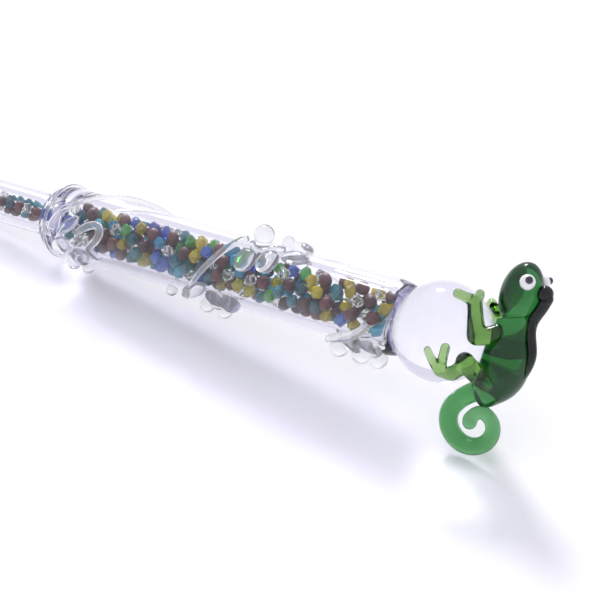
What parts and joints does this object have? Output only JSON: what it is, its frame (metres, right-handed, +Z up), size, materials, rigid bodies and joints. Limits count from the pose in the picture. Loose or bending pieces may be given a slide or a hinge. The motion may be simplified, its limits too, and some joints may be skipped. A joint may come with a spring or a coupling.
{
  "type": "glass dip pen",
  "caption": "Clear glass dip pen: bead-filled tubes wound with glass vines, a twisted nib, and a green glass chameleon hugging the end ball.",
  "frame": {"origin": "centre of the bounding box at the table, directly under the pen", "axes": "+X runs along the pen from the nib to the chameleon, +Z is up from the table; the pen rests on its nib tip and its curled tail"},
  "size_m": [0.2012, 0.024, 0.0379],
  "materials": {
    "clear_glass": "clear fire-polished borosilicate glass",
    "bead_aqua": "cut aqua crystal",
    "bead_blue": "cut blue-violet crystal",
    "bead_brown": "opaque matt brown glass bead",
    "bead_clear": "cut clear crystal",
    "bead_green": "cut green crystal",
    "bead_teal": "cut teal crystal",
    "bead_yellow": "cut olive-yellow crystal",
    "blackish_green_glass": "very dark green glass",
    "green_glass": "deep transparent green glass",
    "satin_green_glass": "hazy light green glass",
    "white_glass": "opaque white glass, glossy",
    "light_green_glass": "transparent yellow-green glass",
    "black_glass": "opaque black glass, glossy"
  },
  "bodies": {
    "root": {"ball_seal": "clear_glass", "barrel_tube": "clear_glass", "beads_aqua": "bead_aqua", "beads_blue": "bead_blue", "beads_brown": "bead_brown", "beads_clear": "bead_clear", "beads_green": "bead_green", "beads_teal": "bead_teal", "beads_yellow": "bead_yellow", "berries_a": "clear_glass", "berries_b": "clear_glass", "berries_c": "clear_glass", "berries_d": "clear_glass", "chameleon_back_strip": "blackish_green_glass", "chameleon_body": "green_glass", "chameleon_casque": "green_glass", "chameleon_head": "green_glass", "chameleon_snout": "blackish_green_glass", "chameleon_tail": "satin_green_glass", "end_ball": "clear_glass", "eye_left": "white_glass", "eye_right": "white_glass", "front_leg_left": "light_green_glass", "front_leg_right": "light_green_glass", "grip_beads_blue": "bead_blue", "grip_beads_brown": "bead_brown", "grip_beads_clear": "bead_clear", "grip_beads_teal": "bead_teal", "grip_tube": "clear_glass", "hind_leg_left": "light_green_glass", "hind_leg_right": "light_green_glass", "leaves_a": "clear_glass", "leaves_b": "clear_glass", "leaves_c": "clear_glass", "leaves_d": "clear_glass", "nib": "clear_glass", "nib_neck": "clear_glass", "pupil_left": "black_glass", "pupil_right": "black_glass", "shoulder_ring": "clear_glass", "vine_curl": "clear_glass", "vine_front": "clear_glass", "vine_hook": "clear_glass", "vine_middle": "clear_glass", "vine_rear": "clear_glass", "vine_stem": "clear_glass"}
  },
  "joints": []
}
